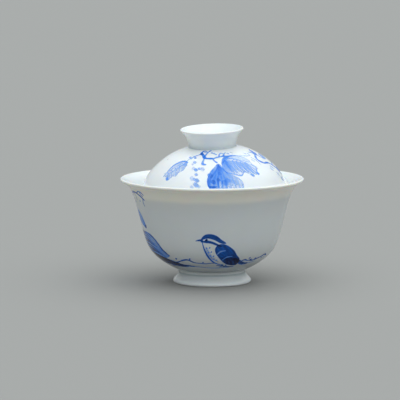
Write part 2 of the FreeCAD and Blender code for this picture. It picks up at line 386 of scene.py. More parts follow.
def bowl_skin(turn, height):
    """Points and normals just outside the bowl: turn in degrees from the front (-Y) towards +X,
    height in mm above the table."""
    t = np.radians(turn) - math.pi / 2
    r, z, nr, nz = surface_at(bowl_outer, bowl_outer[:, 1], height)
    reach = r + warp(r, z, t) + FILM_LIFT * nr
    normal = np.stack([nr * np.cos(t), nr * np.sin(t), nz], -1)
    return np.stack([reach * np.cos(t), reach * np.sin(t), z + FILM_LIFT * nz], -1), normal


def blank_film(skin, turns, ups, fine):
    """Grid over a patch of skin with cells of about the fine size, and no pigment on it yet."""
    ups = np.linspace(*ups, 200)
    middle = skin(np.full(200, sum(turns) / 2), ups)[0]
    run = np.concatenate([[0], np.cumsum(np.linalg.norm(np.diff(middle, axis=0), axis=1))])
    wide = np.radians(turns[1] - turns[0]) * np.hypot(middle[:, 0], middle[:, 1]).max()
    up = np.interp(np.arange(0, run[-1], fine), run, ups)
    turn = np.linspace(*turns, int(wide / fine))
    turn, up = np.meshgrid(turn, up)
    points, normals = skin(turn, up)
    flat = np.stack([np.linspace(0, wide, turn.shape[1]) + 0 * turn,
                     np.arange(turn.shape[0])[:, None] * fine + 0 * turn], -1)
    return {"skin": skin, "turn": turn, "up": up, "points": points, "normals": normals,
            "flat": flat, "ink": np.zeros(turn.shape)}


def cloud(flat, size, seed, stretch=(1.0, 1.0)):
    """Soft random shade from 0 to 1: values on a seeded lattice, blended smoothly between its
    points, three times over at halving sizes and strengths."""
    shade = 0
    for octave in range(3):
        lattice = np.random.default_rng(seed + octave).random((97, 89))
        p = flat / size * 2**octave / np.array(stretch) + 31.7 * octave
        cell = np.floor(p).astype(int)
        w = p - cell
        w = w * w * (3 - 2 * w)
        i, j = cell[..., 0] % 97, cell[..., 1] % 89
        i2, j2 = (i + 1) % 97, (j + 1) % 89
        low = lattice[i, j] * (1 - w[..., 0]) + lattice[i2, j] * w[..., 0]
        high = lattice[i, j2] * (1 - w[..., 0]) + lattice[i2, j2] * w[..., 0]
        shade = shade + (low * (1 - w[..., 1]) + high * w[..., 1]) / 2**octave
    return shade / 1.75


def smooth_path(points, closed=False):
    """Even curve through (turn, up) points, taking MM_PER_DEGREE mm for a degree of turn. A closed
    one is wound on a little and cut back."""
    to_mm = (MM_PER_DEGREE, 1.0)
    p = np.array(points, float) * to_mm
    if not closed:
        return fair_curve(p, 0.35) / to_mm
    ring = np.concatenate([p[-3:], p, p[:4]])
    curve = fair_curve(ring, 0.3)
    half = len(curve) // 2
    start = np.argmin(np.linalg.norm(curve[:half] - p[0], axis=1))
    end = half + np.argmin(np.linalg.norm(curve[half:] - p[0], axis=1))
    return curve[start:end] / to_mm


def nearest_on(path, points):
    """Distance from each point to a path of 3-D points, the share along it where that is, and
    the vector from there to the point."""
    a, step = path[:-1], np.diff(path, axis=0)
    length2 = np.maximum((step**2).sum(1), 1e-9)
    best = np.full(len(points), 1e9)
    share, away = np.zeros(len(points)), np.zeros_like(points)
    for k in range(len(a)):
        f = np.clip((points - a[k]) @ step[k] / length2[k], 0, 1)
        off = points - a[k] - f[:, None] * step[k]
        d = np.linalg.norm(off, axis=1)
        near = d < best
        best[near], share[near], away[near] = d[near], (k + f[near]) / len(a), off[near]
    return best, share, away


def edge(distance, soft):
    """Smooth step from 0 outside to 1 inside, over the soft width."""
    e = np.clip(distance / soft + 0.5, 0, 1)
    return e * e * (3 - 2 * e)


def close_to(film, line, reach):
    """Mask of the film's points inside the line's box, widened by the reach."""
    points = film["points"]
    return np.all((points > line.min(0) - reach) & (points < line.max(0) + reach), -1)


def brush(film, path, width, tone=1.0, soft=0.22, dry=0.0, lift=False):
    """One brush stroke along (turn, up) points: its width and tone are read along its length,
    its edge is soft, and a dry brush leaves bristle streaks. A lift takes pigment off."""
    curve = smooth_path(path) if len(path) > 2 else np.linspace(*np.array(path, float), 12)
    line = film["skin"](curve[:, 0], curve[:, 1])[0]
    half = np.atleast_1d(width) / 2.0
    reach = half.max() + soft
    near = close_to(film, line, reach)
    if not near.any():
        return
    points, normals = film["points"][near], film["normals"][near]
    d, share, away = nearest_on(line, points)
    forward = np.gradient(line, axis=0)
    forward = forward[np.clip((share * (len(line) - 1)).astype(int), 0, len(line) - 1)]
    side = np.sign((np.cross(normals, forward) * away).sum(1)) * d
    half = np.interp(share, np.linspace(0, 1, len(half)), half)
    tone = np.interp(share, np.linspace(0, 1, np.size(tone)), np.atleast_1d(tone))
    mark = edge(half - d, soft) * tone
    if dry:
        streaks = cloud(np.stack([side * 3.2, share * 4.0], -1), 0.8, int(abs(path[0][0]) * 7) % 50)
        mark *= 1 - dry * np.clip(streaks * 2.4 - 0.9, 0, 1)
    mark *= 0.86 + 0.28 * cloud(film["flat"][near], 0.9, 5)
    if lift:
        film["ink"][near] *= 1 - np.clip(mark, 0, 1)
    else:
        film["ink"][near] += mark


def wash(film, outline, tone, soft=0.3, pool=0.35, fade=None, streak=None, seed=1):
    """A filled shape of thin pigment: darker where it pooled along its outline, fading from one
    point to another, and streaked along a direction by the brush."""
    curve = smooth_path(outline, closed=True)
    line = film["skin"](curve[:, 0], curve[:, 1])[0]
    line = np.concatenate([line, line[:1]])
    near = close_to(film, line, 1)
    points = film["points"][near]
    d = nearest_on(line, points)[0]
    x, y = film["turn"][near], film["up"][near]
    inside = np.zeros(len(x), bool)
    for (x0, y0), (x1, y1) in zip(curve, np.roll(curve, -1, 0)):
        crosses = (y0 > y) != (y1 > y)
        inside ^= crosses & (x < (x1 - x0) * (y - y0) / (y1 - y0 + 1e-12) + x0)
    mark = edge(np.where(inside, d, -d), soft) * tone * (1 + pool * np.exp(-d / 0.4))
    if fade:
        (start, end), left = film["skin"](*np.array(fade[:2], float).T)[0], fade[2]
        axis = end - start
        f = np.clip((points - start) @ axis / (axis @ axis), 0, 1)
        mark *= 1 + (left - 1) * f
    flat = film["flat"][near]
    mark *= 0.78 + 0.44 * cloud(flat, 1.6, seed)
    if streak:
        angle, strength = math.radians(streak[0]), streak[1]
        turned = flat @ np.array([[math.cos(angle), -math.sin(angle)],
                                  [math.sin(angle), math.cos(angle)]])
        streaks = cloud(turned, 0.9, seed + 9, stretch=(7.0, 1.0))
        mark *= 1 - strength * np.clip(2.2 * streaks - 0.6, 0, 1)
    film["ink"][near] += mark


def dab(film, turn, up, size, tone=0.8):
    """A touch of the brush tip: a short fat stroke."""
    brush(film, [(turn - 0.25 * size, up - 0.15 * size), (turn + 0.25 * size, up + 0.15 * size)],
          size, tone, soft=0.35)


def cobalt_blue(name):
    """Cobalt oxide under glaze. It covers by 1 - exp(-3.2 ink), so thin pigment is a pale clear
    blue that lets the porcelain show, and thick pigment is navy. The gloss is the glaze's."""
    material = bpy.data.materials.new(name)
    material.use_nodes = True
    tree = material.node_tree
    ink = node(tree, "Attribute", (-1000, 100), attribute_name="ink").outputs["Fac"]
    where = node(tree, "TexCoord", (-1200, -200)).outputs["Object"]
    grain = node(tree, "TexNoise", (-1000, -200), in_Vector=where, in_Scale=2600.0, in_Detail=2.0)
    swing = node(tree, "MapRange", (-820, -200), in_0=grain, in_3=0.86, in_4=1.14)
    grainy = node(tree, "Math", (-640, 60), operation="MULTIPLY", in_0=ink, in_1=swing)
    scaled = node(tree, "Math", (-480, 160), operation="MULTIPLY", in_0=grainy, in_1=0.4)
    colour = node(tree, "ValToRGB", (-320, 200), in_Fac=scaled)
    stops = ((0.00, (0.280, 0.500, 0.970)), (0.14, (0.200, 0.430, 0.950)),
             (0.28, (0.050, 0.260, 0.880)), (0.40, (0.003, 0.150, 0.720)),
             (0.52, (0.001, 0.080, 0.380)), (0.68, (0.001, 0.042, 0.210)),
             (0.84, (0.001, 0.012, 0.085)), (1.00, (0.001, 0.005, 0.045)))
    band = colour.color_ramp
    while len(band.elements) < len(stops):
        band.elements.new(0.5)
    for element, (place, shade) in zip(band.elements, stops):
        element.position, element.color = place, (*shade, 1.0)
    fall = node(tree, "Math", (-480, -80), operation="MULTIPLY", in_0=grainy, in_1=-3.2)
    clear = node(tree, "Math", (-320, -80), operation="EXPONENT", in_0=fall)
    cover = node(tree, "Math", (-160, -80), operation="SUBTRACT", in_0=1.0, in_1=clear)
    gloss = node(tree, "MapRange", (-160, -260), in_0=grain, in_3=0.06, in_4=0.13)
    feed(tree.nodes["Principled BSDF"], in_Base_Color=colour, in_Alpha=cover, in_Roughness=gloss,
         in_IOR=GLAZE_IOR, in_Specular_IOR_Level=0.3)
    return material


COBALT = cobalt_blue("cobalt_brushwork")
FAINTEST = 0.012


def fire_on(film, name, body, load, heaviest=2.6):
    """Makes a film a mesh of the cells that carry pigment, with its ink as an attribute. Strokes
    laid over each other level off: ink = heaviest * tanh(load * ink / heaviest)."""
    ink = heaviest * np.tanh(load * film["ink"] / heaviest)
    rows, columns = ink.shape
    ids = np.arange(rows * columns).reshape(rows, columns)
    corners = np.stack([ids[:-1, :-1], ids[:-1, 1:], ids[1:, 1:], ids[1:, :-1]], -1).reshape(-1, 4)
    corners = corners[(ink.ravel()[corners] > FAINTEST).any(1)]
    used, corners = np.unique(corners, return_inverse=True)
    corners = corners.reshape(-1, 4)
    mesh = bpy.data.meshes.new(name)
    mesh.from_pydata((film["points"].reshape(-1, 3)[used] * MM).tolist(), [], corners.tolist())
    mesh.polygons.foreach_set("use_smooth", np.ones(len(corners), bool))
    layer = mesh.attributes.new("ink", "FLOAT", "POINT")
    layer.data.foreach_set("value", ink.ravel()[used].astype(np.float32))
    flat = film["flat"].reshape(-1, 2)[used]
    flat = 0.01 + 0.98 * (flat - flat.min(0)) / (flat.max(0) - flat.min(0)).max()
    laid = flat[corners.ravel()].astype(np.float32)
    mesh.uv_layers.new(name="OFBake").data.foreach_set("uv", laid.ravel())
    mesh.update()
    piece = bpy.data.objects.new(name, mesh)
    bpy.context.collection.objects.link(piece)
    mesh.materials.append(COBALT)
    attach(piece, body)


bird = blank_film(bowl_skin, (-18, 42), (10.2, 32), fine=0.18)
# a short stout beak, a thin cap, and a stripe through the eye with a bare brow between them
brush(bird, [(-13.4, 27.3), (-11, 27.7), (-8.4, 27.7)], (0.2, 0.8, 1.3), 1.3)
wash(bird, [(-8.8, 27.9), (-7.2, 29.9), (-3.8, 31.1), (0.6, 31), (4.6, 29.8), (8.4, 27.7),
      (11.6, 26), (8.4, 26), (4.2, 27.3), (0, 28.5), (-3.8, 28.9), (-6.6, 28.4)], 1.3,
      streak=(-20, 0.2), seed=3)
brush(bird, [(-8.8, 26.9), (-4.2, 27), (0.4, 26.4), (4.6, 25.2), (8, 24.4)],
      (0.5, 1.5, 1.2, 1.1, 0.5), 1.3)
dab(bird, -4.6, 27.9, 1, 2.4)
# the pale breast, spotted, inside one round line from the chin to the legs
brush(bird, [(-8, 26.4), (-7.2, 24), (-5.4, 20.8), (-2.6, 17.6), (1.4, 15.2), (6.4, 13.8),
      (11.5, 13.2)], (0.3, 0.6, 0.9, 0.8, 0.7, 0.5), (1.1, 1.2, 1.2, 1, 1.2), dry=0.3)
brush(bird, [(-5, 23.6), (-2.8, 20.4), (0.8, 17.4), (6, 15.4)], (0.8, 1.8, 1.6, 0.6), 0.12,
      soft=0.9)
for turn, up in ((-4.6, 23.2), (-2, 23.6), (-3.2, 21), (-0.6, 21.2), (-1.4, 18.8), (1.4, 18.8),
        (1.2, 16.9), (4.4, 16.4)):
    dab(bird, turn, up, 0.55, 0.7)
# the back and the folded wing with two bare bars, then the flight feathers and a level tail
wash(bird, [(5.6, 25.3), (10.6, 25.4), (15.4, 23.8), (19.6, 21.6), (23, 18.9), (27.6, 15.6),
      (26.4, 13), (20.6, 12.9), (14.6, 13.8), (9.6, 15.8), (5.6, 18.4), (3, 21.2), (3, 23.6)], 1.25,
      fade=((6, 23), (22, 14), 1.4), streak=(-45, 0.3), seed=7)
for root, tip in (((9, 17.8), (16.4, 13.8)), ((12.4, 18), (20.8, 13.4)),
                  ((16.4, 17.8), (25.4, 13.4))):
    middle = ((root[0] + tip[0]) / 2 + 0.8, (root[1] + tip[1]) / 2 + 0.5)
    brush(bird, [root, middle, tip], (0.6, 1.9, 0.8), 0.75, dry=0.2)
brush(bird, [(4.6, 19.8), (7.4, 21.4), (11.6, 21.9)], (0.5, 0.9, 0.4), 0.8, lift=True)
brush(bird, [(9.8, 16.4), (13.4, 18), (18.4, 18.4)], (0.4, 0.8, 0.4), 0.75, lift=True)
brush(bird, [(22, 16.8), (28, 14.8), (33.4, 13.6), (39, 13.4)], (1.8, 2.6, 2.4, 1.6), 1.6, dry=0.3)
brush(bird, [(27.4, 14.4), (33, 13.2), (38.4, 13)], (0.25, 0.35, 0.25), 0.6, lift=True)
brush(bird, [(10.4, 13.6), (10.8, 12.4), (8.6, 12)], (0.45, 0.4, 0.3), 1.2)
brush(bird, [(14.8, 13.2), (15.4, 12.2), (13.2, 11.9)], (0.45, 0.4, 0.3), 1.2)
fire_on(bird, "painted_bird", "bowl", load=1.3)


# ---- bowl painting: branch --------------------
# The low branch the bird sits on, with buds, and a thinner twig beyond it at the right. It is
# cobalt blue from one loaded brush that runs dry, fired on with the glaze.

branch = blank_film(bowl_skin, (-62, 68), (9, 19.4), fine=0.2)
brush(branch, [(-60, 12.2), (-50, 13.2), (-41, 13.7), (-33, 15), (-27.6, 15.9), (-23.4, 16),
      (-19.4, 14.9), (-12.4, 14.3), (-5.8, 14.1), (-0.6, 14.5), (4, 14.4)],
      (1.8, 1.8, 1.4, 1, 0.6, 1, 0.9, 0.5, 0.7, 0.5, 0.5),
      (1.9, 1.9, 1.7, 1.6, 1.1, 1.6, 1.1, 1.2, 1.2), dry=0.45)
brush(branch, [(-52, 11.6), (-40, 12.2), (-30, 12.4), (-20, 12.2)], (1.6, 1.3, 1.4, 0.4), 1.3,
      dry=0.5)
brush(branch, [(-30, 11.8), (-16, 11.9), (-4, 11.4), (8, 11.3), (20, 11.6)],
      (0.4, 0.8, 0.6, 0.9, 0.5), 0.35, soft=0.5, dry=0.6)
brush(branch, [(5, 12.9), (12, 12.5), (18, 12), (24.5, 11.8)], (0.4, 0.9, 0.8, 0.5), 1.5)
brush(branch, [(30.6, 15.3), (34, 15.8), (37.4, 15.2), (41.4, 15.7)], (0.7, 0.9, 0.5, 0.9),
      (1.3, 0.9, 1.2), dry=0.4)
brush(branch, [(41, 15.2), (45.6, 15), (50.4, 15.8), (55.4, 16.7), (60.2, 17.4), (62.6, 16.6),
      (61, 15.6)], (0.9, 0.7, 0.9, 0.7, 0.9, 0.7, 0.4), (1.5, 1.3, 1.5, 1.2, 1.2, 0.9), dry=0.3)
brush(branch, [(34, 12.6), (42, 13.6), (50, 14)], (0.3, 0.6, 0.3), 0.5, dry=0.5)
for turn, up, size in ((-36.8, 16.2, 0.8), (-21.6, 16.7, 0.7), (-9, 14.9, 0.6), (38.6, 16.6, 0.7),
        (47, 15.9, 0.8), (57.6, 15.6, 0.7)):
    dab(branch, turn, up, size, 1)
fire_on(branch, "painted_branch", "bowl", load=1.5)


# ---- bowl painting: rock ----------------------
# A leaning rock at the left: a thin wash under curved hatching, and at its foot dark ground that
# runs out under the branch. It is cobalt blue, fired on with the glaze.

rock = blank_film(bowl_skin, (-128, -28), (9, 31.5), fine=0.22)
wash(rock, [(-120, 12), (-122, 17), (-114, 22), (-104, 25.2), (-94, 27.2), (-82, 28.6), (-70, 28.8),
      (-61, 27.8), (-56, 25.8), (-51.6, 22.6), (-47.6, 19.8), (-44, 17.6), (-49, 16.2), (-56, 15.4),
      (-66, 13.6), (-80, 12), (-100, 11)], 0.20, soft=0.5, pool=0.5, fade=((-72, 27), (-60, 14),
      2.6), streak=(20, 0.4), seed=12)
for k in range(9):
    height = 27.2 - 1.55 * k + 0.2 * math.sin(2.3 * k)
    end = -60.0 + 1.9 * k - 3.0 * (k % 3 == 1)
    brush(rock, [(end - 50, height - 1.8), (end - 28, height + 1.1), (end - 12, height + 0.7),
          (end - 2, height - 0.9)], (0.4, 0.95, 0.9, 0.3),
          (0.9, 1.5 + 0.06 * k, 1.7 + 0.06 * k, 0.8), soft=0.4, dry=0.2)
brush(rock, [(-84, 28.5), (-74, 28.9), (-65, 28.4), (-58.6, 26.9), (-54, 24.4), (-49.8, 21),
      (-46, 18.8), (-43.4, 17.5)], (0.4, 0.7, 0.6, 0.9, 0.8, 0.9, 1, 0.5),
      (0.8, 1.1, 0.8, 1.3, 1.1, 1.3, 1.5), dry=0.3)
brush(rock, [(-62, 26.6), (-57.4, 24.2), (-53.4, 21), (-49.6, 18.4)], (0.4, 0.5, 0.5, 0.3), 0.45,
      soft=0.2, lift=True)
brush(rock, [(-126, 11.4), (-108, 12.2), (-90, 13.2), (-74, 14.2), (-62, 14.3), (-52, 13.7),
      (-42, 12.8), (-34, 12.1), (-28, 11.9)], (1.8, 4.4, 6.6, 8.2, 8.4, 7.6, 6, 4, 1.2),
      (1.4, 1.9, 2.4, 2.8, 2.8, 2.8, 2.7, 2.3), soft=0.9, dry=0.12)
brush(rock, [(-96, 17.4), (-82, 17.6), (-70, 17.4), (-58, 16.4)], (1, 2.6, 2.4, 0.8), 0.8, soft=0.8,
      dry=0.3)
fire_on(rock, "painted_rock", "bowl", load=1.4)


# ---- bowl painting: twig ----------------------
# A twig that climbs from behind the rock up to the rim, with five leaves and a few buds. It is
# cobalt blue, fired on with the glaze.

twig = blank_film(bowl_skin, (-128, -52), (26.0, 53.4), fine=0.22)


def small_leaf(film, root, tip, wide, tone):
    """A leaf wash between two curves that part at the root and meet at the tip, and its midrib."""
    root, tip = np.array(root, float), np.array(tip, float)
    along = tip - root
    across = np.array([-along[1] / MM_PER_DEGREE, along[0] * MM_PER_DEGREE])
    across /= np.hypot(along[0] * MM_PER_DEGREE, along[1])
    ring = [root + along * f + across * wide * g for f, g in
            ((0, 0), (0.2, 0.32), (0.45, 0.5), (0.75, 0.34), (1, 0), (0.78, -0.3), (0.45, -0.46),
             (0.2, -0.3))]
    wash(film, ring, tone, pool=0.6, fade=(tuple(tip), tuple(root), 0.6), seed=int(abs(tip[0])))
    brush(film, [tuple(root), tuple(root + along * 0.5 + across * 0.06 * wide), tuple(tip)],
          (0.3, 0.25, 0.12), tone * 1.3)


brush(twig, [(-104, 26.8), (-109, 32.6), (-106, 39), (-97, 44.6), (-86, 48.4), (-75, 50.6),
      (-68.8, 51), (-63.6, 49.8), (-58.2, 47.4)], (0.9, 0.7, 0.6, 0.6, 0.5, 0.7, 1, 1, 0.6),
      (1.1, 0.9, 0.7, 1, 0.8, 1.2, 1.7, 1.7), dry=0.3)
brush(twig, [(-66, 50.6), (-62, 51.9), (-58.6, 51.6), (-56.8, 50.2)], (0.6, 0.5, 0.8, 0.4),
      (1.4, 0.7, 1.4))
brush(twig, [(-60.6, 51.3), (-60.2, 50), (-58.4, 49.4)], (0.6, 0.5, 0.3), 0.8)
brush(twig, [(-60, 47.6), (-60.8, 46), (-60.2, 44)], (0.4, 0.5, 0.3), 0.45, soft=0.4)
brush(twig, [(-73, 50.6), (-71, 48.8), (-71.4, 46.6)], (0.5, 0.6, 0.3), 0.7)
for root, tip, wide, tone in (((-86, 41.6), (-66.6, 31.4), 6.4, 0.5),
        ((-106.6, 38), (-97, 33), 3.8, 0.5),
        ((-108.8, 31.4), (-121, 35.4), 4, 0.7),
        ((-101.4, 42.4), (-113, 46.6), 3.8, 0.55),
        ((-88, 47.8), (-93, 52.6), 3.2, 0.8)):
    small_leaf(twig, root, tip, wide, tone)
brush(twig, [(-81, 38.6), (-79, 36.4)], (0.6, 0.8), 1, soft=0.4)
dab(twig, -67.6, 32.2, 1.5, 1.8)
brush(twig, [(-97, 44.4), (-91, 43.4), (-86, 41.6)], (0.4, 0.4, 0.5), 0.8)
for turn, up, size in ((-79.4, 46.8, 0.9), (-77.4, 45.2, 0.8), (-80.6, 44, 0.7),
        (-65.6, 46.4, 0.6)):
    dab(twig, turn, up, size, 0.7)
fire_on(twig, "painted_twig", "bowl", load=1.3, heaviest=1.9)


# ---- lid dome ---------------------------------
# The domed lid, thrown upside down and turned thin. Its edge drops inside the flare of the bowl,
# where it rests a little out of level, low towards the front left.

LID_EDGE_ROUND = 0.85
LID_EDGE_RADIUS = 41.12
DOME_RISE = 24.6
KNOB_NECK = 12.75
dome_top = LID_EDGE_ROUND + DOME_RISE
dome_outside = [(0.020, 1.000), (0.062, 0.984), (0.184, 0.912), (0.307, 0.857), (0.430, 0.789),
                (0.553, 0.691), (0.676, 0.571), (0.779, 0.446), (0.869, 0.303), (0.943, 0.148),
                (1.000, 0.000)]
dome_outer = fair_curve([(KNOB_NECK + (LID_EDGE_RADIUS - KNOB_NECK) * out,
                          LID_EDGE_ROUND + DOME_RISE * up) for up, out in dome_outside], 0.4)
along = np.linspace(0, 1, len(dome_outer))
dome_under = inward(dome_outer, 2 * LID_EDGE_ROUND + 0.2 * np.clip(along / 0.3, 0, 1))
dome_under = dome_under[np.searchsorted(along, np.linspace(0, 0.92, 14))]
CROWN_THICKNESS = 2.05
crown = dome_top - CROWN_THICKNESS
crown_points = [(dome_under[-1, 0] * s, crown - (crown - dome_under[-1, 1]) * s**2.2)
                for s in (0.60, 0.30, 0.0)]
dome_inner = fair_curve(np.concatenate([dome_under, crown_points]), 0.6)
dome_profile = joined(
    dome_inner[::-1],
    half_round(dome_outer[::-1], dome_inner[::-1])[::-1],
    dome_outer,
    straight(dome_outer[-1], (0, dome_top), 1.0))

LEAN = math.radians(3.6)
LOW_SIDE = math.radians(236.3)
SEAT_HEIGHT = 49.9
EDGE_HEIGHT = 1.063
SLID_UP, SLID_ALONG = 1.286, 0.4


def rest_askew(points):
    """Leans upright lid points about the level line across the low side (Rodrigues' turn by the
    lean), then carries them down to the seat and slides them towards the high side."""
    low = np.array([math.cos(LOW_SIDE), math.sin(LOW_SIDE), 0.0])
    axis = np.array([-low[1], low[0], 0.0])
    p = points - [0, 0, EDGE_HEIGHT]
    leaned = (p * math.cos(LEAN) + np.cross(axis, p) * math.sin(LEAN)
              + axis * (p @ axis)[:, None] * (1 - math.cos(LEAN)))
    return leaned - SLID_UP * low + SLID_ALONG * axis + [0, 0, SEAT_HEIGHT]


dome = turned_piece("lid_dome_glazed", dome_profile, columns=360,
                    depth=glaze_depth(dome_profile, seams=[(KNOB_NECK, dome_top)]),
                    place=rest_askew)
dome.data.materials.append(glazed_porcelain(
    "glazed_porcelain_lid", even=(0.88, 0.895, 0.905), pooled=(0.78, 0.84, 0.86),
    thin=(0.92, 0.92, 0.90), glow=0.3))
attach(dome, "lid")
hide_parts("lid_dome")


# ---- lid knob ---------------------------------
# A hollow ring flared like a trumpet, thrown by itself and luted on the dome. Glaze runs down
# its waist and gathers in the angle at its foot.

KNOB_HEIGHT = 9.8
KNOB_TOP = 17.1
KNOB_WALL = 1.9
GLAZE_FILLET = 0.4
knob_outer = fair_curve([(KNOB_NECK + (KNOB_TOP - KNOB_NECK) * out, dome_top + KNOB_HEIGHT * up)
                         for up, out in [(0.00, 0.00), (0.16, 0.07), (0.36, 0.21), (0.56, 0.41),
                                         (0.74, 0.71), (0.89, 0.985)]], 0.25)
knob_outer[:, 0] += GLAZE_FILLET * np.clip(1 - (knob_outer[:, 1] - dome_top) / 0.9, 0, 1) ** 2
knob_wall = KNOB_WALL - 0.7 * np.linspace(0, 1, len(knob_outer))
knob_inner = inward(knob_outer, knob_wall)
knob_inner[0] = (KNOB_NECK - KNOB_WALL, dome_top)
knob_profile = joined(knob_outer, half_round(knob_outer, knob_inner), knob_inner[::-1],
                      straight(knob_inner[0], knob_outer[0], 0.5))[:-1]
knob = turned_piece("lid_knob_glazed", knob_profile, columns=260,
                    depth=glaze_depth(knob_profile, seams=[(KNOB_NECK, dome_top)], reach=2.5),
                    closed=True, place=rest_askew)
# The knob's even colour is set lighter than the dome's, though it is the same porcelain: painted
# light, to brighten the knob against the shade at its foot.
knob.data.materials.append(glazed_porcelain(
    "glazed_porcelain_knob", even=(0.88, 0.925, 0.94), pooled=(0.76, 0.84, 0.865),
    thin=(0.93, 0.94, 0.94), glow=0.25))
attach(knob, "lid")
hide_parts("lid_knob")


# ---- lid painting: leaves ---------------------
# Three lobed leaves under the knob: a small pale one at the left, and a dark one and a broad
# pale one at the front. They are cobalt blue washes with fine veins, fired on with the glaze.

shoulder = dome_outer[::-1]
shoulder_run = np.concatenate([[0.0], np.cumsum(np.hypot(*np.diff(shoulder, axis=0).T))])


def lid_skin(turn, down):
    """Points and normals just outside the dome: turn in degrees from the front (-Y) towards +X,
    down in mm along the dome from the seam under the knob."""
    t = np.radians(turn) - math.pi / 2
    r, z, nr, nz = surface_at(shoulder, shoulder_run, down)
    nr, nz = -nr, -nz
    reach = r + warp(r, z, t) + FILM_LIFT * nr
    upright = np.stack([reach * np.cos(t), reach * np.sin(t), z + FILM_LIFT * nz], -1)
    tips = upright + np.stack([nr * np.cos(t), nr * np.sin(t), nz], -1)
    placed, ends = (rest_askew(p.reshape(-1, 3)).reshape(p.shape) for p in (upright, tips))
    return placed, ends - placed


leaves = blank_film(lid_skin, (-60, 60), (6.5, 34), fine=0.2)
# the small pale leaf hangs at the left
wash(leaves, [(-33, 12.8), (-39, 12.4), (-45.5, 13.8), (-50.4, 17), (-51.2, 21.4), (-52.4, 24.8),
      (-49.2, 24.6), (-46.4, 26.6), (-43, 26), (-41.2, 23.8), (-37.6, 23.6), (-36, 21),
      (-32.8, 19.6), (-31.4, 16.6), (-31.8, 14.2)], 0.15, pool=1.1, streak=(62, 0.5), seed=21)
brush(leaves, [(-33, 13.2), (-39, 12.6), (-45.4, 14.2), (-50, 17.4), (-51.4, 21)],
      (0.8, 1.2, 1.2, 0.9, 0.5), (0.55, 0.5, 0.36, 0.2), soft=0.5, dry=0.3)
brush(leaves, [(-33.4, 13.4), (-38.8, 16.6), (-44.6, 20.8), (-49.8, 24.4)], (0.7, 0.5, 0.4, 0.25),
      (0.45, 0.3, 0.25))
for k in range(5):
    rib = (-36.0 - 2.9 * k, 15.0 + 1.9 * k)
    brush(leaves, [rib, (rib[0] - 3.4, rib[1] - 0.7), (rib[0] - 6.4, rib[1] + 0.5)],
          (0.4, 0.35, 0.2), 0.22)
    brush(leaves, [rib, (rib[0] + 1.4, rib[1] + 2.2), (rib[0] + 3.2, rib[1] + 3.8)],
          (0.4, 0.35, 0.2), 0.22)
dab(leaves, -45.8, 25.6, 1.6, 0.35)
dab(leaves, -32.8, 15.4, 1.6, 0.25)
# the broad dark leaf: loaded brush at its left, nearly clear at its right
wash(leaves, [(6.4, 14.2), (1.8, 16.6), (-2.4, 19.6), (-4.6, 23.4), (-5, 26.6), (-3.6, 30),
      (0, 32.6), (8, 33.2), (17, 33), (23.6, 32), (25.4, 27.4), (22, 24.6), (17.4, 22.6),
      (13.4, 20.4), (10.4, 17)], 0.62, pool=0.4, streak=(84, 0.6), fade=((1, 24), (20, 26), 0.24),
      seed=24)
for k, load in enumerate((0.9, 0.55, 0.75, 0.35, 0.5, 0.22, 0.3, 0.16)):
    low = -3.0 + 3.5 * k
    brush(leaves, [(6, 14.8), (4.0 + 0.42 * low, 19.4 + 0.1 * k), (low, 25.0 + 0.35 * k),
          (low + 0.6, 31.6)], (0.4, 1, 1.3, 0.6), (0.35, load, load, 0.25 * load), soft=0.5,
          dry=0.55)
for turn, down, size, tone in ((-2.6, 22.4, 2.4, 0.5), (0, 26.6, 2.2, 0.6), (4.8, 25.4, 1.5, 0.7),
        (6.4, 21.4, 1.8, 0.3), (10, 27.4, 2.6, 0.4), (13, 26, 2.2, 0.3), (19, 27.6, 2.6, 0.12)):
    dab(leaves, turn, down, size, tone)
for k in range(5):
    brush(leaves, [(2.6 + 3.1 * k, 25.6 + 0.3 * k), (2.2 + 3.3 * k, 29.4), (3.0 + 3.4 * k, 33.4)],
          (0.3, 0.9, 1.3), (0.3, 0.5, 0.6), soft=0.5, lift=True)
brush(leaves, [(-4.4, 23), (-4.9, 26.4), (-3.6, 29.4), (-1.4, 30.6)], (0.5, 0.8, 0.7, 0.4), 0.7)
brush(leaves, [(-3, 29.2), (-0.6, 29.6), (2.4, 29.4)], (0.7, 1.1, 0.7), 1.1, soft=0.3)
brush(leaves, [(25.2, 31), (25.6, 28), (23, 25.2), (18.4, 23)], (0.5, 0.5, 0.6, 0.4), 0.16,
      soft=0.35)
# the broad pale leaf beside it, drawn by its outline and veins
wash(leaves, [(10.2, 15.6), (12.6, 12), (17.6, 9.4), (25, 8.2), (33, 8), (40, 9), (45.4, 11.2),
      (48.6, 14.4), (48.4, 17.6), (50.6, 21), (47.2, 22), (46, 25), (41.8, 24.2), (38.4, 25.4),
      (35.6, 23), (31.6, 21.8), (28, 24), (23.4, 23.6), (18.4, 22.4), (13.8, 21.2), (10.6, 18.6)],
      0.13, pool=1.2, streak=(35, 0.5), fade=((14, 13), (46, 24), 0.8), seed=27)
brush(leaves, [(11, 14.6), (14.6, 11), (20.4, 9), (27, 8.2), (34, 8.4), (40.6, 9.6)],
      (0.8, 1.6, 1.9, 1.4, 0.8, 0.4), (0.45, 0.6, 0.65, 0.45, 0.25), soft=0.5, dry=0.3)
brush(leaves, [(12.6, 13.2), (20.4, 10.8), (29, 11.2), (36, 13.6), (41.6, 17), (46.4, 22.6)],
      (0.7, 0.9, 0.6, 0.5, 0.45, 0.3), (0.4, 0.45, 0.35, 0.3, 0.35), dry=0.3)
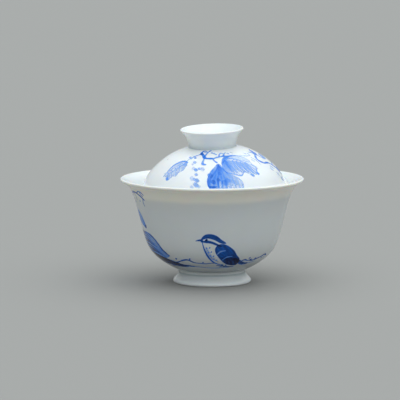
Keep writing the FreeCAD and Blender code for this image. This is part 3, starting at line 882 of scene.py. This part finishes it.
for k in range(6):
    rib = (16.0 + 4.6 * k, 12.0 + 0.15 * k + 0.13 * k * k)
    brush(leaves, [rib, (rib[0] + 0.8, rib[1] + 4.4), (rib[0] + 3.8, rib[1] + 8.6)],
          (0.9, 0.8, 0.4), 0.4, dry=0.3)
    brush(leaves, [(rib[0] + 2.2, rib[1] + 0.6), (rib[0] + 3.4, rib[1] + 5),
          (rib[0] + 6.2, rib[1] + 8.6)], (0.7, 0.8, 0.4), 0.26, dry=0.3)
    if k > 1:
        brush(leaves, [rib, (rib[0] + 3.6, rib[1] - 1), (rib[0] + 7.4, rib[1] - 0.4)],
              (0.4, 0.35, 0.2), 0.2)
for k in range(4):
    brush(leaves, [(12.6 + 1.8 * k, 13.6 - 0.5 * k), (12.0 + 2.4 * k, 17.6),
          (14.2 + 3.4 * k, 21.8)], (1.2, 1.6, 0.8), (0.4, 0.26, 0.12), soft=0.5, dry=0.5)
brush(leaves, [(13.4, 21), (18, 22), (23.4, 23.3), (27.4, 23.8), (31.4, 21.9), (35.4, 23)],
      (0.5, 0.7, 0.6, 0.5, 0.4, 0.3), 0.3, soft=0.3)
brush(leaves, [(46, 17.4), (48.6, 20.6), (46.6, 22.4), (45.8, 25)], (0.5, 0.5, 0.7, 0.5), 0.25,
      soft=0.4)
dab(leaves, 38.8, 24.6, 1.6, 0.3)
dab(leaves, 46, 24, 1.4, 0.3)
fire_on(leaves, "painted_lid_leaves", "lid", load=1.1, heaviest=1.25)


# ---- lid painting: vine -----------------------
# The vine the leaves hang from, round the lid's shoulder to its right side, with petals falling
# from it. It is cobalt blue brushwork, fired on with the glaze.

vine = blank_film(lid_skin, (-46, 152), (0.4, 36), fine=0.24)
for path, width, tone, soft, dry in (
        ([(-36, 12.6), (-33, 10), (-28.4, 7.6), (-23.6, 6), (-18.6, 4.9)],
         (0.5, 0.6, 1, 0.6, 1.3), (0.15, 0.28, 0.5, 0.35, 1), 0.45, 0.4),
        ([(-19, 5), (-15, 6.6), (-11.4, 8.9), (-7, 9.4), (-2, 9.5), (2.4, 9.6)],
         (1.7, 1.4, 1.7, 1.1, 1.5, 0.7), (1.1, 0.8, 1.3, 0.8, 1.1, 0.5), 0.4, 0.3),
        ([(2.4, 9.4), (6.4, 8.6), (10.4, 8.3), (16.4, 7.9), (22, 8)], (0.7, 1.1, 0.8, 1.4, 0.7),
         (0.4, 0.6, 0.45, 0.9, 0.5), 0.4, 0.4),
        ([(-19.4, 5), (-20.6, 3.4), (-18.4, 2), (-14.8, 1.6)], (1.6, 1.1, 1, 0.6),
         (1.3, 1.1, 0.9, 0.5), 0.35, 0),
        ([(-12, 7.6), (-10.6, 4.8), (-7.4, 2.6), (-3.6, 1.2)], (0.9, 0.8, 0.7, 0.9),
         (0.7, 0.6, 0.4, 0.6), 0.4, 0.4),
        ([(-14.6, 3.2), (-11.6, 2.4), (-10.4, 3.4)], (0.6, 0.7, 0.4), 0.6, 0.35, 0),
        ([(-12.2, 9.4), (-12.6, 11.8), (-12, 14.2), (-8.8, 14.6)], (0.7, 0.9, 1.4, 0.9),
         (0.4, 0.35, 0.7, 0.6), 0.5, 0),
        ([(0.2, 9.8), (2, 11.6), (4.8, 13.2)], (0.7, 0.7, 0.9), (0.45, 0.55, 0.7), 0.35, 0),
        ([(10, 8), (11.4, 5.8), (14.6, 4.8), (18.6, 5.4)], (0.8, 0.7, 0.8, 0.5),
         (0.6, 0.35, 0.5, 0.4), 0.4, 0),
        ([(17, 7.6), (20.8, 5.2), (24.4, 4.4)], (0.9, 0.7, 0.5), (0.6, 0.35, 0.25), 0.4, 0),
        ([(42, 9), (52, 10.6), (60.4, 11.2)], (0.5, 0.7, 0.6), (0.15, 0.25, 0.2), 0.4, 0),
        ([(70, 8.6), (74, 10), (72, 12), (66.4, 13.6), (63.6, 15.4), (65, 17.4),
         (69, 19.2)], (0.7, 1.1, 0.8, 1.2, 1, 1.5, 0.9), (0.6, 0.9, 0.5, 1, 0.8, 1.4, 0.9),
         0.4, 0.3),
        ([(69, 19.2), (75, 19.6), (80.4, 21), (83.6, 23.6), (88, 26.4), (90, 30),
         (89, 34)], (0.8, 1.3, 1.1, 1.2, 0.9, 0.7, 0.5), (0.7, 1.3, 1, 1.2, 0.8, 0.5, 0.25),
         0.4, 0.3),
        ([(57, 12.6), (60, 16.4), (58.6, 19.6)], (0.6, 0.6, 0.3), (0.15, 0.3, 0.1), 0.5, 0),
        ([(74.6, 22.4), (77, 24.6)], (0.9, 0.5), 0.5, 0.4, 0),
        ([(79, 16.4), (76.6, 13), (79, 10), (84, 8)], (0.6, 0.8, 0.6, 0.7),
         (0.6, 0.9, 0.5, 0.6), 0.22, 0.3),
        ([(84, 22.6), (94, 21.6), (106, 23.4), (118, 21.8), (128, 24.6)],
         (0.6, 0.5, 0.7, 0.4, 0.5), (0.9, 0.6, 0.9, 0.6), 0.22, 0.4)):
    brush(vine, path, width, tone, soft, dry)
for root, tip, wide, tone in (((80, 17), (94, 13.6), 5, 0.45),
        ((84.6, 25.6), (99, 29.6), 5.4, 0.6),
        ((74, 12.6), (88, 7.4), 3.6, 0.8),
        ((118, 21.8), (132, 16.8), 4.6, 0.5),
        ((127, 24.4), (139, 30.2), 4.2, 0.75)):
    small_leaf(vine, root, tip, wide, tone)
for turn, down, size, tone in ((-35, 8.8, 1.2, 0.35), (-31.4, 9.6, 1, 0.3), (-26, 9, 1.1, 0.45),
        (-23.2, 12.8, 1.8, 0.18), (-24.6, 14.4, 1, 0.14), (-18.2, 18.4, 1.6, 0.42),
        (-15, 17.6, 1.2, 0.32), (-11.2, 17.8, 2, 0.14), (-21.4, 17.4, 1.8, 0.10),
        (-16.6, 21.6, 1.4, 0.3), (-19.8, 24.2, 2.2, 0.10), (-17.2, 24.8, 1.4, 0.2),
        (-14.8, 25.4, 1.9, 0.3), (-15.2, 28, 2.2, 0.24), (-18.4, 29.4, 1.6, 0.12),
        (-12.6, 29, 1.4, 0.14), (-1.2, 3.8, 1.1, 0.3), (2.6, 4.6, 1.2, 0.25), (5.6, 5.6, 1, 0.3),
        (27, 5.6, 1.2, 0.2), (34, 5, 1, 0.14), (57, 8.6, 1.2, 0.2), (61.6, 9.6, 1, 0.3),
        (54.6, 15, 1.8, 0.08), (71, 24, 2, 0.12), (76.4, 28.2, 2.2, 0.12), (80, 31.6, 2.4, 0.16),
        (108, 28.4, 1.6, 0.3), (111, 31, 1.4, 0.25), (97, 25, 1.5, 0.3)):
    brush(vine, [(turn - 0.2 * size, down - 0.1 * size), (turn + 0.3 * size, down + 0.2 * size)],
          size, tone, soft=0.7)
fire_on(vine, "painted_lid_vine", "lid", load=1.1, heaviest=1.35)


# ---- table, light and camera ------------------
# A plain pale table top, lit by a wide soft sky: bright overhead, brighter again from the front
# and above, and dim at the level of the eye.

bpy.ops.mesh.primitive_grid_add(x_subdivisions=2, y_subdivisions=2, size=24.0)
table = bpy.context.object
table.name = "table_top"
paper = bpy.data.materials.new("pale_paper")
paper.use_nodes = True
feed(paper.node_tree.nodes["Principled BSDF"], in_Base_Color=(0.32, 0.315, 0.305, 1),
     in_Roughness=0.9, in_Specular_IOR_Level=0.2)
table.data.materials.append(paper)

# each glow in the sky: the direction it comes from, the cosine where it fades out, its strength
SKY_GLOWS = (((0.17, -0.05, 0.984), 0.2, 0.98), ((0.0, -0.5, 0.866), 0.6, 0.88),
             ((-0.62, -0.17, 0.766), 0.6, 0.34), ((0.62, -0.17, 0.766), 0.6, 0.32),
             ((0.0, 0.766, 0.643), 0.5, 0.66))
sky = bpy.data.worlds.new("soft_sky")
sky.use_nodes = True
tree = sky.node_tree
facing = node(tree, "TexCoord", (-1000, 0)).outputs["Generated"]
parts = node(tree, "SeparateXYZ", (-800, 120), in_0=facing)
total = node(tree, "MapRange", (-600, 160), in_0=parts.outputs["Z"],
             in_1=-0.2, in_2=0.5, in_3=0.12, in_4=0.05)
for k, (towards, fades, strength) in enumerate(SKY_GLOWS):
    lobe = node(tree, "VectorMath", (-800, -200 * k - 100), operation="DOT_PRODUCT",
                in_0=facing, in_1=towards)
    rise = node(tree, "MapRange", (-600, -200 * k - 100), interpolation_type="SMOOTHERSTEP",
                in_0=lobe.outputs["Value"], in_1=fades, in_2=1.0, in_3=0.0, in_4=strength)
    total = node(tree, "Math", (-380 + 60 * k, 60), operation="ADD", in_0=total, in_1=rise)
feed(tree.nodes["Background"], in_Strength=total, in_Color=(0.93, 0.985, 1.0, 1))
bpy.context.scene.world = sky
bpy.context.scene.view_settings.view_transform = "Standard"

CAMERA_AWAY = 1.5
CAMERA_AIM = 0.040
RAISE = math.radians(7.45)
lens = bpy.data.cameras.new("viewer")
lens.sensor_width = 36.0
lens.lens = 248.4
lens.shift_x = -0.0301
lens.shift_y = 0.0212
lens.clip_end = 20.0
viewer = bpy.data.objects.new("viewer", lens)
viewer.location = (0.0, -CAMERA_AWAY * math.cos(RAISE), CAMERA_AIM + CAMERA_AWAY * math.sin(RAISE))
viewer.rotation_euler = (math.pi / 2 - RAISE, 0.0, 0.0)
bpy.context.collection.objects.link(viewer)
bpy.context.scene.camera = viewer
